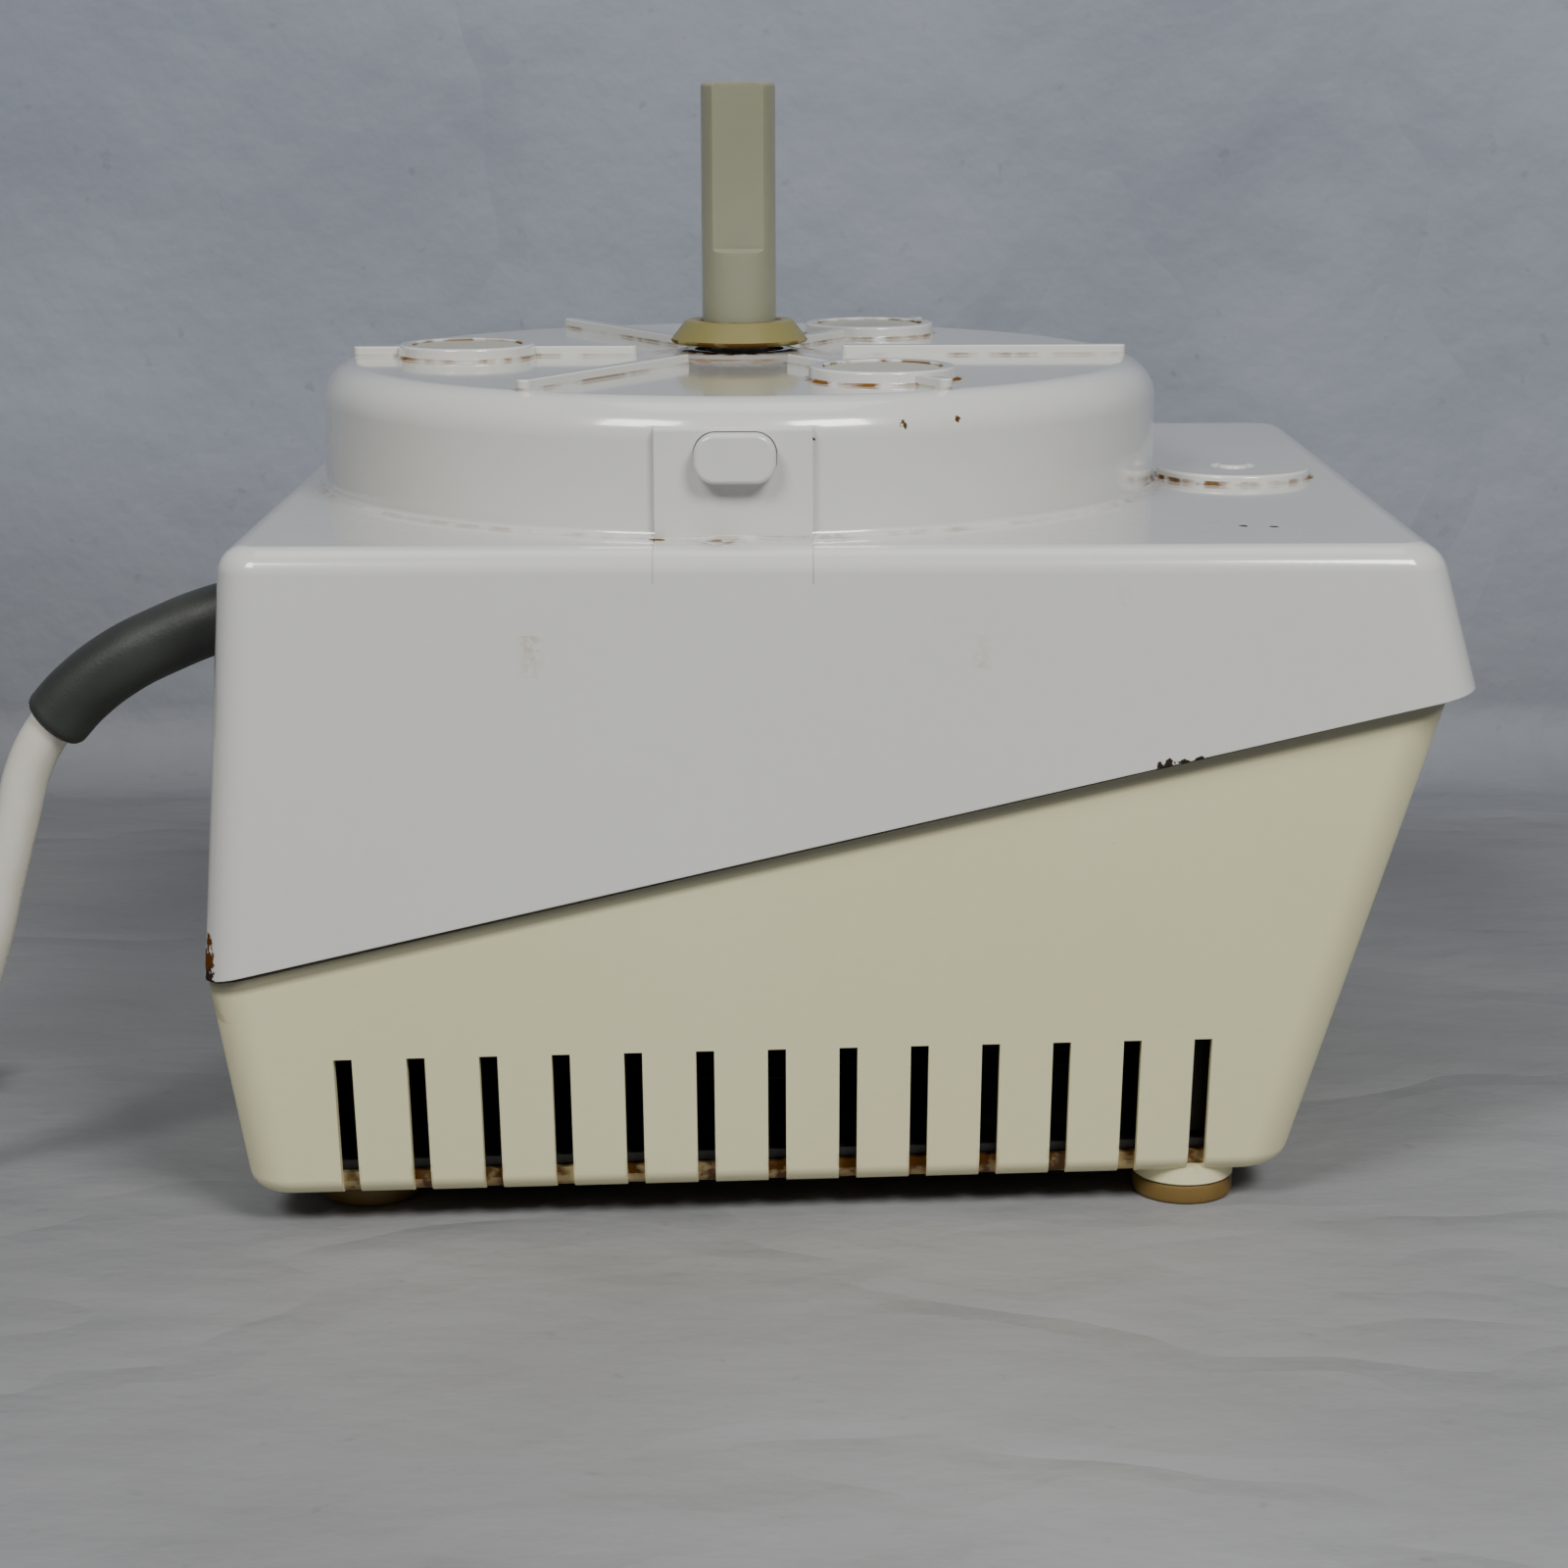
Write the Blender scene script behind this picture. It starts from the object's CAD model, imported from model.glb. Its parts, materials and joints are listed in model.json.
"""Looks for a food processor's motor base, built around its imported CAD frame.

Sizes in the classes below are millimetres, measured from the drive shaft's axis (X and Y) and from
the floor (Z), as on the part's drawing. The Bench puts them in the frame, in metres.
"""

import sys

import json
import logging
import math
from collections.abc import Callable, Sequence
from dataclasses import dataclass, field, replace
from enum import Enum

import bpy
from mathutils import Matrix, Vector

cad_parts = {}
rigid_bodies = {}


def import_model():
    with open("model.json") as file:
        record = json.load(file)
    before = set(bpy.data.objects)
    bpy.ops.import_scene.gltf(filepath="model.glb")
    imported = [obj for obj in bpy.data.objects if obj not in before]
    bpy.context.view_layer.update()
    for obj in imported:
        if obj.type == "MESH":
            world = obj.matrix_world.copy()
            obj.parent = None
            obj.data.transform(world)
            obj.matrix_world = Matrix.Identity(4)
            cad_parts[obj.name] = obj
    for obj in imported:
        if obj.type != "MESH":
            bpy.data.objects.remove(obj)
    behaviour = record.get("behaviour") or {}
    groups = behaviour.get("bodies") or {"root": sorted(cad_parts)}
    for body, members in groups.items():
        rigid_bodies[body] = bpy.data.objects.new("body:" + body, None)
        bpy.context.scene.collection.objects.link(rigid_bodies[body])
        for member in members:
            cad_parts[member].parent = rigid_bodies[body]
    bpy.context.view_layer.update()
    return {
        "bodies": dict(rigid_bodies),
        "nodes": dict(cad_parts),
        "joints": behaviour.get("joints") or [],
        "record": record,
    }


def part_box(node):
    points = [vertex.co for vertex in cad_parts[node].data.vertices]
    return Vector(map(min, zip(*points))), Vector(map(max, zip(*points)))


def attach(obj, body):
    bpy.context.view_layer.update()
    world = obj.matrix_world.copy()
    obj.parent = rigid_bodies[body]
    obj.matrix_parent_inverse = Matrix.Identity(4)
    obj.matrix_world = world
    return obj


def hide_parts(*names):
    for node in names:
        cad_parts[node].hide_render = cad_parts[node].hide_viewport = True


LOG = logging.getLogger("motor_base")
MM = 0.001
SHARP, SOFT, ROUND = 28, 32, 40  # shading angles in degrees: turned pieces, moulded boxes, bent sleeves
Piece = bpy.types.Object
Material = bpy.types.Material
Socket = bpy.types.NodeSocket
Pair = tuple[float, float]
Point = tuple[float, float, float]


# ------------------------------------------------------------------------------- bench
class Bench:
    """The modelling operations that every piece is made with, in millimetres about the shaft."""

    shaft_x = 0.0

    @classmethod
    def find_shaft(cls) -> None:
        """Reads the shaft's place along the length from the frame."""
        low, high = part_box("drive_sleeve")
        cls.shaft_x = (low[0] + high[0]) / 2

    @classmethod
    def place(cls, x: float, y: float, z: float) -> Vector:
        """Turns a place in millimetres about the shaft into metres in the frame."""
        return Vector((x * MM + cls.shaft_x, y * MM, z * MM))

    @staticmethod
    def clear() -> None:
        """Leaves edit mode and deselects everything."""
        if bpy.context.object and bpy.context.object.mode != "OBJECT":
            bpy.ops.object.mode_set(mode="OBJECT")
        bpy.ops.object.select_all(action="DESELECT")

    @classmethod
    def pick(cls, piece: Piece) -> None:
        """Makes a piece the only one selected, and active.

        Args:
            piece: The piece.
        """
        cls.clear()
        piece.select_set(True)
        bpy.context.view_layer.objects.active = piece

    @classmethod
    def settle(cls, name: str) -> Piece:
        """Names the new primitive and puts its place into its mesh.

        Args:
            name: The piece's name.

        Returns:
            The new piece.
        """
        piece = bpy.context.object
        piece.name = name
        piece.data.name = name
        bpy.ops.object.transform_apply(location=True, rotation=True, scale=True)
        return piece

    @classmethod
    def select(
        cls,
        piece: Piece,
        verts: Callable[[Vector], bool] | None = None,
        edges: Callable[[Vector, Vector], bool] | None = None,
        faces: Callable[[Vector, Vector], bool] | None = None,
    ) -> None:
        """Opens a piece in edit mode with only the wanted elements selected.

        Args:
            piece: The piece to open.
            verts: Test of a vertex's place, in metres.
            edges: Test of an edge's two ends.
            faces: Test of a face's centre and normal.
        """
        cls.pick(piece)
        mesh = piece.data
        for group in (mesh.vertices, mesh.edges, mesh.polygons):
            group.foreach_set("select", [False] * len(group))
        mode = (verts is not None, edges is not None, faces is not None)
        bpy.context.tool_settings.mesh_select_mode = mode if any(mode) else (True, False, False)
        if verts:
            for v in mesh.vertices:
                v.select = verts(v.co)
        if edges:
            for e in mesh.edges:
                a, b = (mesh.vertices[i].co for i in e.vertices)
                e.select = edges(a, b)
                for i in e.vertices:
                    mesh.vertices[i].select = mesh.vertices[i].select or e.select
        if faces:
            for f in mesh.polygons:
                f.select = faces(f.center, f.normal)
        bpy.ops.object.mode_set(mode="EDIT")

    @classmethod
    def box(cls, name: str, low: Point, high: Point) -> Piece:
        """Adds a box between two corners.

        Args:
            name: The piece's name.
            low: Lowest corner.
            high: Highest corner.

        Returns:
            The box.
        """
        cls.clear()
        a, b = cls.place(*low), cls.place(*high)
        bpy.ops.mesh.primitive_cube_add(size=1, location=(a + b) / 2)
        bpy.context.object.scale = b - a
        return cls.settle(name)

    @classmethod
    def block(cls, name: str, bottom: Sequence[Point], top: Sequence[Point]) -> Piece:
        """Adds a six-sided block by moving a cube's corners.

        Args:
            name: The piece's name.
            bottom: The four lower corners: left front, right front, right back, left back.
            top: The four upper corners in the same order.

        Returns:
            The block.
        """
        cls.clear()
        bpy.ops.mesh.primitive_cube_add(size=2)
        piece = cls.settle(name)
        signs = [(-1, -1), (1, -1), (1, 1), (-1, 1)]
        for level, corners in ((-1, bottom), (1, top)):
            for (sx, sy), corner in zip(signs, corners, strict=True):
                start = Vector((sx, sy, level))
                cls.select(piece, verts=lambda co, s=start: (co - s).length < 1e-4)
                bpy.ops.transform.translate(value=cls.place(*corner) - start)
        bpy.ops.object.mode_set(mode="OBJECT")
        return piece

    @classmethod
    def cylinder(
        cls, name: str, radius: float, low: float, high: float, centre: Pair, sides: int = 64
    ) -> Piece:
        """Adds an upright cylinder.

        Args:
            name: The piece's name.
            radius: Its radius.
            low: Height of its bottom.
            high: Height of its top.
            centre: Its axis, as X and Y.
            sides: Number of sides.

        Returns:
            The cylinder.
        """
        cls.clear()
        bpy.ops.mesh.primitive_cylinder_add(
            vertices=sides,
            radius=radius * MM,
            depth=(high - low) * MM,
            location=cls.place(centre[0], centre[1], (low + high) / 2),
        )
        return cls.settle(name)

    @classmethod
    def spun(cls, name: str, profile: Sequence[Pair], centre: Pair = (0, 0), steps: int = 64) -> Piece:
        """Turns a profile about an upright axis.

        Args:
            name: The piece's name.
            profile: Corners as radius and height, closed on the axis or on itself.
            centre: The axis, as X and Y.
            steps: Steps round the full turn.

        Returns:
            The turned piece.
        """
        cls.clear()
        bpy.ops.mesh.primitive_plane_add(size=0.001)
        piece = cls.settle(name)
        cls.select(piece, verts=lambda co: True)
        bpy.ops.mesh.merge(type="CENTER")
        spots = [cls.place(centre[0] + r, centre[1], z) for r, z in profile]
        bpy.ops.transform.translate(value=spots[0])
        for before, after in zip(spots, spots[1:]):
            bpy.ops.mesh.extrude_vertices_move(TRANSFORM_OT_translate={"value": after - before})
        bpy.ops.mesh.select_all(action="SELECT")
        bpy.ops.mesh.spin(
            steps=steps, angle=2 * math.pi, center=cls.place(centre[0], centre[1], 0), axis=(0, 0, 1)
        )
        bpy.ops.mesh.select_all(action="SELECT")
        bpy.ops.mesh.remove_doubles(threshold=1e-6)
        bpy.ops.mesh.normals_make_consistent(inside=False)
        bpy.ops.object.mode_set(mode="OBJECT")
        return piece

    @classmethod
    def tube(
        cls, name: str, stops: Sequence[tuple[Vector, float]], radius: float, steps: int, rings: int
    ) -> Piece:
        """Adds a round tube along a smooth curve.

        Args:
            name: The tube's name.
            stops: Places in the frame, each with a share of the radius; only full ones are smooth.
            radius: The tube's radius.
            steps: Steps between two stops.
            rings: Fineness round the tube.

        Returns:
            The tube, as a curve.
        """
        cls.clear()
        bpy.ops.curve.primitive_nurbs_path_add()
        tube = cls.settle(name)
        curve = tube.data
        curve.splines.clear()
        spline = curve.splines.new("BEZIER")
        spline.bezier_points.add(len(stops) - 1)
        for point, (place, size) in zip(spline.bezier_points, stops, strict=True):
            point.co = place
            point.radius = size
            point.handle_left_type = point.handle_right_type = "AUTO" if size == 1.0 else "VECTOR"
        spline.resolution_u = steps
        curve.dimensions = "3D"
        curve.bevel_depth = radius * MM
        curve.bevel_resolution = rings
        curve.use_fill_caps = True
        return tube

    @classmethod
    def bevel(
        cls, piece: Piece, edges: Callable[[Vector, Vector], bool], width: float, segments: int = 4
    ) -> None:
        """Rounds the edges that pass a test.

        Args:
            piece: The piece to round.
            edges: Test of an edge's two ends.
            width: Size of the rounding.
            segments: Facets across it.
        """
        cls.select(piece, edges=edges)
        bpy.ops.mesh.bevel(
            offset=width * MM, segments=segments, affect="EDGES", profile=0.5, clamp_overlap=True
        )
        bpy.ops.object.mode_set(mode="OBJECT")

    @classmethod
    def split_off(cls, piece: Piece, point: Vector, normal: Vector) -> None:
        """Cuts a piece with a plane and drops the side the normal points to.

        Args:
            piece: The piece to cut.
            point: A point on the plane.
            normal: The plane's normal.
        """
        cls.select(piece, faces=lambda centre, n: True)
        bpy.ops.mesh.bisect(plane_co=point, plane_no=normal, use_fill=False, clear_outer=True)
        bpy.ops.object.mode_set(mode="OBJECT")

    @classmethod
    def modify(cls, piece: Piece, kind: str, **settings: object) -> None:
        """Adds a modifier and applies it.

        Args:
            piece: The piece to change.
            kind: Blender's name of the modifier.
            **settings: The modifier's settings.
        """
        cls.pick(piece)
        modifier = piece.modifiers.new(kind.lower(), kind)
        for key, value in settings.items():
            setattr(modifier, key, value)
        bpy.ops.object.modifier_apply(modifier=modifier.name)

    @classmethod
    def soften(cls, piece: Piece, width: float, segments: int = 2, limit: float = 30) -> None:
        """Rounds every edge that turns more than a limit in degrees."""
        size = {"width": width * MM, "segments": segments}
        cls.modify(piece, "BEVEL", **size, limit_method="ANGLE", angle_limit=math.radians(limit))

    @classmethod
    def combine(cls, piece: Piece, tool: Piece, how: str) -> None:
        """Joins (UNION) or cuts (DIFFERENCE) a piece with a tool, which is used up."""
        cls.modify(piece, "BOOLEAN", object=tool, operation=how, solver="EXACT", use_self=True)
        bpy.data.objects.remove(tool, do_unlink=True)

    @classmethod
    def gather(cls, pieces: Sequence[Piece], name: str) -> Piece:
        """Makes several meshes one.

        Args:
            pieces: The meshes.
            name: The new name.

        Returns:
            The one mesh.
        """
        cls.pick(pieces[0])
        for piece in pieces:
            piece.select_set(True)
        bpy.ops.object.join()
        pieces[0].name = name
        return pieces[0]

    @classmethod
    def swing(cls, piece: Piece, angle: float, target: Pair, height: float = 0.0, axis: int = 2) -> None:
        """Turns a piece about the shaft's foot, then carries it to its place.

        Args:
            piece: The piece to move.
            angle: The turn, in radians.
            target: Where the shaft's foot goes, as X and Y.
            height: Where it goes along Z.
            axis: The axis of the turn: 0, 1 or 2.
        """
        cls.pick(piece)
        piece.location = -cls.place(0, 0, 0)
        bpy.ops.object.transform_apply(location=True, rotation=False, scale=False)
        piece.rotation_euler[axis] = angle
        piece.location = cls.place(*target, height)
        bpy.ops.object.transform_apply(location=True, rotation=True, scale=False)

    @classmethod
    def smooth(cls, piece: Piece, angle: float = SOFT) -> None:
        """Shades a piece smooth, with its sharp edges kept and its flats flat.

        Args:
            piece: The piece to shade.
            angle: Edges up to this many degrees are shaded smooth.
        """
        cls.pick(piece)
        bpy.ops.object.shade_smooth_by_angle(angle=math.radians(angle))
        cls.modify(piece, "WEIGHTED_NORMAL", keep_sharp=True, weight=60)


def quarter(steps: int) -> list[float]:
    """Angles across a quarter turn, in radians."""
    return [math.pi / 2 * i / steps for i in range(steps + 1)]


def arc(radius: float, top: float, rounding: float, steps: int = 8) -> list[Pair]:
    """A quarter round from a wall of that radius over to a flat top.

    Args:
        radius: The wall's radius.
        top: Height of the flat.
        rounding: Radius of the round.
        steps: Facets in it.

    Returns:
        Corners as radius and height.
    """
    return [
        (radius - rounding * (1 - math.cos(a)), top - rounding * (1 - math.sin(a))) for a in quarter(steps)
    ]


# ------------------------------------------------------------------------------- finishes
class Nodes:
    """A material's node tree, wired in code."""

    def __init__(self, name: str) -> None:
        """Starts an empty material with one shader.

        Args:
            name: The material's name.
        """
        self.material = bpy.data.materials.new(name)
        self.material.use_nodes = True
        self.tree = self.material.node_tree
        self.tree.nodes.clear()
        self.shader = self.add("ShaderNodeBsdfPrincipled")
        self.output = self.add("ShaderNodeOutputMaterial")
        self.link(self.shader.outputs["BSDF"], self.output.inputs["Surface"])
        self.where = self.add("ShaderNodeTexCoord").outputs["Object"]

    def add(self, kind: str, **settings: object) -> bpy.types.Node:
        """Adds a node with its settings.

        Args:
            kind: Blender's name of the node.
            **settings: The node's settings.

        Returns:
            The node.
        """
        node = self.tree.nodes.new(kind)
        for key, value in settings.items():
            setattr(node, key, value)
        return node

    def link(self, source: Socket, target: Socket) -> None:
        """Wires two sockets."""
        self.tree.links.new(source, target)

    def feed(self, socket: Socket, value: object) -> None:
        """Wires a socket, or sets it where the value is a plain one.

        Args:
            socket: The socket to feed.
            value: Another socket, a number or a colour.
        """
        if isinstance(value, Socket):
            self.link(value, socket)
        else:
            socket.default_value = value

    def math(self, how: str, a: object, b: object = 0.0) -> Socket:
        """Works out a sum, product or other result of two values.

        Args:
            how: Blender's name of the operation.
            a: The first value.
            b: The second value.

        Returns:
            The result.
        """
        node = self.add("ShaderNodeMath", operation=how)
        self.feed(node.inputs[0], a)
        self.feed(node.inputs[1], b)
        return node.outputs[0]

    def noise(self, scale: float, detail: float = 4, stretch: Point = (1, 1, 1)) -> Socket:
        """Spreads noise over the piece.

        Args:
            scale: Features per metre.
            detail: Finer layers in it.
            stretch: The scale's share along each axis.

        Returns:
            The noise, from 0 to 1.
        """
        mapping = self.add("ShaderNodeMapping")
        self.link(self.where, mapping.inputs["Vector"])
        mapping.inputs["Scale"].default_value = stretch
        node = self.add("ShaderNodeTexNoise")
        self.link(mapping.outputs["Vector"], node.inputs["Vector"])
        node.inputs["Scale"].default_value = scale
        node.inputs["Detail"].default_value = detail
        return node.outputs["Fac"]

    def ramp(self, value: Socket, low: float, high: float, bottom: float = 0, top: float = 1) -> Socket:
        """Maps a value onto a new range and keeps it there.

        Args:
            value: The value.
            low: The value that gives the bottom.
            high: The value that gives the top.
            bottom: One end of the new range.
            top: Its other end.

        Returns:
            The mapped value.
        """
        node = self.add("ShaderNodeMapRange", clamp=True)
        self.link(value, node.inputs["Value"])
        for key, number in (("From Min", low), ("From Max", high), ("To Min", bottom), ("To Max", top)):
            node.inputs[key].default_value = number
        return node.outputs["Result"]

    def mix(self, share: object, first: object, second: object) -> Socket:
        """Mixes two colours.

        Args:
            share: Share of the second colour.
            first: The first colour.
            second: The second colour.

        Returns:
            The mixed colour.
        """
        node = self.add("ShaderNodeMix", data_type="RGBA")
        self.feed(node.inputs["Factor"], share)
        for socket, value in ((node.inputs[6], first), (node.inputs[7], second)):
            self.feed(socket, (*value, 1) if isinstance(value, tuple) and len(value) == 3 else value)
        return node.outputs[2]

    def away(self, spot: Vector, flat: bool = False) -> Socket:
        """Measures the distance from a spot.

        Args:
            spot: The spot, in metres in the frame.
            flat: Measures from the upright line through the spot instead.

        Returns:
            The distance in metres.
        """
        shift = self.add("ShaderNodeVectorMath", operation="SUBTRACT")
        self.link(self.where, shift.inputs[0])
        shift.inputs[1].default_value = spot
        squash = self.add("ShaderNodeVectorMath", operation="MULTIPLY")
        self.link(shift.outputs[0], squash.inputs[0])
        squash.inputs[1].default_value = (1, 1, 0 if flat else 1)
        length = self.add("ShaderNodeVectorMath", operation="LENGTH")
        self.link(squash.outputs[0], length.inputs[0])
        return length.outputs["Value"]

    def part(self, axis: int) -> Socket:
        """Takes one coordinate of the place on the piece.

        Args:
            axis: 0, 1 or 2.

        Returns:
            The coordinate in metres.
        """
        node = self.add("ShaderNodeSeparateXYZ")
        self.link(self.where, node.inputs[0])
        return node.outputs[axis]

    def bump(self, height: Socket, depth: float, strength: float = 1) -> None:
        """Raises the surface by a height pattern.

        Args:
            height: The pattern.
            depth: Height of its full value, in millimetres.
            strength: Share of the relief that shows.
        """
        node = self.add("ShaderNodeBump")
        self.link(height, node.inputs["Height"])
        node.inputs["Distance"].default_value = depth * MM
        node.inputs["Strength"].default_value = strength
        self.link(node.outputs["Normal"], self.shader.inputs["Normal"])


@dataclass(frozen=True)
class Stain:
    """Dirt in a ring about an upright line, or in a patch where the ring's radius is 0.

    A grain of 0 means a solid spot.
    """

    spot: Point
    radius: float
    width: float
    strength: float = 1.0
    grain: float = 500.0
    low: float = 0.0
    high: float = 400.0
    color: Point | None = None


def chips(color: Point, *spots: tuple[float, float, float, float]) -> tuple[Stain, ...]:
    """Solid spots of one colour, each given as its place and its radius."""
    return tuple(Stain((x, y, z), 0, radius, 1.0, 0, color=color) for x, y, z, radius in spots)


@dataclass(frozen=True)
class Plastic:
    """Moulded plastic with age: mottled colour, uneven gloss, fine scratches, dirt where it gathers."""

    name: str
    color: Point
    aged: Point
    roughness: float
    coat: float = 0.0
    grain: float = 0.02
    dirt: Point = (0.16, 0.08, 0.025)
    scratches: float = 0.05
    specks: float = 0.0
    soil: float = 0.0
    translucency: float = 0.0
    stains: tuple[Stain, ...] = ()
    seam: tuple[float, float, float, Point] | None = None

    def build(self) -> Material:
        """Wires the finish.

        Returns:
            The material.
        """
        n = Nodes(self.name)
        broad = n.ramp(n.noise(9, 3), 0.35, 0.7)
        color = n.mix(broad, self.color, self.aged)
        fine = n.ramp(n.noise(320, 5), 0.3, 0.75)
        color = n.mix(n.math("MULTIPLY", fine, 0.08), color, tuple(c * 0.8 for c in self.aged))
        if self.specks:
            speck = n.ramp(n.noise(620, 2), 0.79, 0.83, 0, self.specks)
            color = n.mix(speck, color, self.dirt)
        if self.soil:
            patch = n.ramp(n.noise(75, 2), 0.38, 0.46)
            patch = n.math("MULTIPLY", patch, n.ramp(n.noise(420, 4), 0.4, 0.55, 0.5, 1))
            color = n.mix(n.math("MULTIPLY", patch, self.soil), color, self.dirt)
        soiled = n.math("MULTIPLY", broad, 0)
        for stain in self.stains:
            share = self._stain(n, stain)
            color = n.mix(share, color, stain.color or self.dirt)
            soiled = n.math("MAXIMUM", soiled, share)
        if self.seam:
            height, slope, width, tone = self.seam
            along = n.math("ADD", n.part(2), n.math("MULTIPLY", n.part(0), -slope))
            edge = (height - slope * Bench.shaft_x / MM) * MM
            band = n.ramp(along, edge - width * MM * 1.2, edge - width * MM * 0.8)
            color = n.mix(band, color, tone)
        n.link(color, n.shader.inputs["Base Color"])
        scratch = n.ramp(n.noise(60, 6, (1, 9, 1)), 0.6, 0.72)
        gloss = n.math("ADD", n.ramp(n.noise(26, 5), 0.3, 0.8, self.roughness, self.roughness + 0.09),
                       n.math("MULTIPLY", scratch, self.scratches))
        n.link(n.math("ADD", gloss, n.math("MULTIPLY", soiled, 0.5)), n.shader.inputs["Roughness"])
        n.link(n.ramp(soiled, 0, 0.6, self.coat, 0), n.shader.inputs["Coat Weight"])
        n.link(n.ramp(soiled, 0, 0.6, 0.5, 0.05), n.shader.inputs["Specular IOR Level"])
        n.shader.inputs["Coat Roughness"].default_value = 0.08
        n.shader.inputs["IOR"].default_value = 1.49
        if self.translucency:
            n.shader.inputs["Subsurface Weight"].default_value = self.translucency
            n.shader.inputs["Subsurface Scale"].default_value = 0.004
            n.shader.inputs["Subsurface Radius"].default_value = (1.0, 0.8, 0.5)
        n.bump(n.noise(900, 3), self.grain)
        return n.material

    @staticmethod
    def _stain(n: Nodes, stain: Stain) -> Socket:
        """Draws one stain.

        Args:
            n: The finish's nodes.
            stain: The stain.

        Returns:
            Its share of the colour.
        """
        spot = Bench.place(*stain.spot)
        ring = n.math("ABSOLUTE", n.math("SUBTRACT", n.away(spot, flat=True), stain.radius * MM))
        if not stain.grain:
            edge = n.ramp(n.noise(900, 4), 0.25, 0.75, -1, 1)
            ragged = n.math("MULTIPLY", edge, stain.width * MM * 0.5)
            away = n.math("ADD", n.away(spot), ragged)
            return n.ramp(away, stain.width * MM * 0.85, stain.width * MM, stain.strength, 0)
        near = n.ramp(ring, stain.width * MM * 0.4, stain.width * MM, stain.strength, 0)
        height = n.part(2)
        near = n.math("MULTIPLY", near, n.math("GREATER_THAN", height, stain.low * MM))
        near = n.math("MULTIPLY", near, n.math("LESS_THAN", height, stain.high * MM))
        patchy = n.ramp(n.noise(stain.grain, 4), 0.41, 0.55)
        broad = n.ramp(n.noise(70, 2), 0.36, 0.58, 0.3, 1)
        return n.math("MULTIPLY", n.math("MULTIPLY", near, patchy), broad)


@dataclass(frozen=True)
class Metal:
    """Plain metal: brushed or cast, with tarnish in patches."""

    name: str
    color: Point
    tarnish: Point
    roughness: float
    stretch: Point = (1, 1, 12)
    metallic: float = 1.0

    def build(self) -> Material:
        """Wires the finish.

        Returns:
            The material.
        """
        n = Nodes(self.name)
        patches = n.ramp(n.noise(45, 5), 0.45, 0.7)
        n.link(n.mix(patches, self.color, self.tarnish), n.shader.inputs["Base Color"])
        lines = n.noise(700, 2, self.stretch)
        uneven = n.ramp(lines, 0.3, 0.7, self.roughness - 0.08, self.roughness + 0.12)
        n.link(uneven, n.shader.inputs["Roughness"])
        n.shader.inputs["Metallic"].default_value = self.metallic
        n.bump(lines, 0.02)
        return n.material


@dataclass(frozen=True)
class Rubber:
    """Rubber or vinyl: fine pores, chalky bloom, and dirt in patches."""

    name: str
    color: Point
    bloom: Point
    roughness: float
    pores: float = 0.05
    dirt: Point = (0.2, 0.1, 0.03)
    dirt_share: float = 0.2
    coat: float = 0.0

    def build(self) -> Material:
        """Wires the finish.

        Returns:
            The material.
        """
        n = Nodes(self.name)
        color = n.mix(n.ramp(n.noise(55, 5), 0.4, 0.7), self.color, self.bloom)
        spots = n.math("MULTIPLY", n.ramp(n.noise(190, 5), 0.6, 0.68), n.ramp(n.noise(16, 2), 0.5, 0.6))
        color = n.mix(n.math("MULTIPLY", spots, self.dirt_share), color, self.dirt)
        n.link(color, n.shader.inputs["Base Color"])
        n.link(n.ramp(n.noise(130, 4), 0.3, 0.7, self.roughness - 0.06, self.roughness + 0.1),
               n.shader.inputs["Roughness"])
        n.shader.inputs["Coat Weight"].default_value = self.coat
        n.shader.inputs["Coat Roughness"].default_value = 0.07
        n.bump(n.noise(1500, 2), self.pores)
        return n.material


PAD_CIRCLE = 58.5
RIBBED_PADS = tuple(
    (PAD_CIRCLE * math.cos(math.radians(a)), PAD_CIRCLE * math.sin(math.radians(a))) for a in (60, 180, 300)
)
DIRTY_BROWN = (0.085, 0.04, 0.01)
TAN_DIRT = (0.17, 0.08, 0.014)
OLIVE_DIRT = (0.36, 0.32, 0.13)
RUST = (0.11, 0.036, 0.006)
NEAR_BLACK = (0.03, 0.02, 0.015)

WHITE_GLOSS = Plastic(
    "white_gloss", (0.655, 0.655, 0.635), (0.64, 0.635, 0.60), 0.16, coat=1.0, grain=0.01, dirt=TAN_DIRT,
    stains=(
        Stain((106.8, -1, 137), 16.9, 0.7, 1.0, 260, 136.6, 138.0),
        Stain((0, 0, 137), 90.7, 0.6, 0.4, 200, 136.4, 138),
        *chips(TAN_DIRT, (-14.5, -90.5, 137.2, 1.6)),
        Stain((-3, -92, 137), 0, 7, 0.9, 420, 136, 138.2),
        Stain((22, -92, 137), 0, 6, 0.4, 420, 136, 138.2),
        Stain((-38, -104, 118.5), 0, 3.2, 0.5, 900, 113, 121, OLIVE_DIRT),
        Stain((46.5, -104, 118), 0, 2.2, 0.45, 900, 114.5, 121, OLIVE_DIRT),
        Stain((73, -104, 128), 0, 2.4, 0.6, 800, 126, 130, OLIVE_DIRT),
        *chips(
            NEAR_BLACK, (81.4, -104.4, 95.2, 1.9), (84.8, -104.4, 96.3, 1.3), (87.6, -104.4, 97.1, 0.9),
        ),
        *chips(RUST, (-101.3, -102.2, 58.0, 2.9), (-101.2, -102.6, 62.0, 1.7)),
        *chips(NEAR_BLACK, (-100.8, -103.2, 54.4, 2.3), (98.8, -75, 137.2, 1.1), (104.5, -76, 137.2, 0.95)),
    ),
)
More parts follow.
